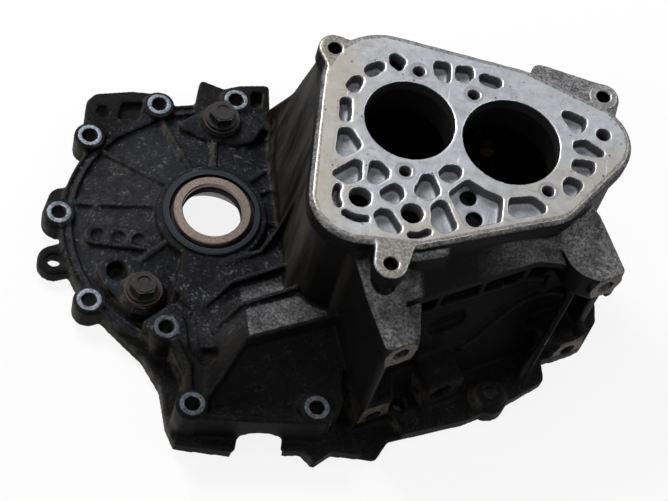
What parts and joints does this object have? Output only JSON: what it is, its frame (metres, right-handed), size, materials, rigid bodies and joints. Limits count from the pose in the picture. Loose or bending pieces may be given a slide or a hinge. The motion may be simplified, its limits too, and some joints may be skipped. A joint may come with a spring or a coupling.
{
  "type": "gearbox housing",
  "caption": "Ribbed die-cast gear-case half with a pocketed end face, two shaft bores, a domed differential cover with its oil seal, and a bolted joint flange.",
  "frame": {"origin": "middle of the overall size in plan, at the joint face", "axes": "+X from the differential towards the input shaft, +Y to the back wall, +Z along the shafts from the joint face to the end face"},
  "size_m": [0.4115, 0.3031, 0.16],
  "materials": {
    "cast_aluminium": "oily as-cast, machined faces bright",
    "seal_steel": "blue-grey coated",
    "seal_rubber": "satin",
    "seal_brown": "satin brown",
    "spring_steel": "bright",
    "bearing_steel": "ground",
    "rusty_steel": "rusty",
    "washer_steel": "stained"
  },
  "bodies": {
    "root": {"gearbox_housing": "cast_aluminium", "seal_case": "seal_steel", "seal_rubber": "seal_rubber", "seal_dust_ring": "seal_brown", "garter_spring": "spring_steel", "bearing_race": "bearing_steel", "preload_shim": "spring_steel", "upper_plug": "rusty_steel", "upper_plug_washer": "washer_steel", "lower_plug": "rusty_steel", "lower_plug_washer": "washer_steel", "reverse_idler_bolt": "rusty_steel"}
  },
  "joints": []
}
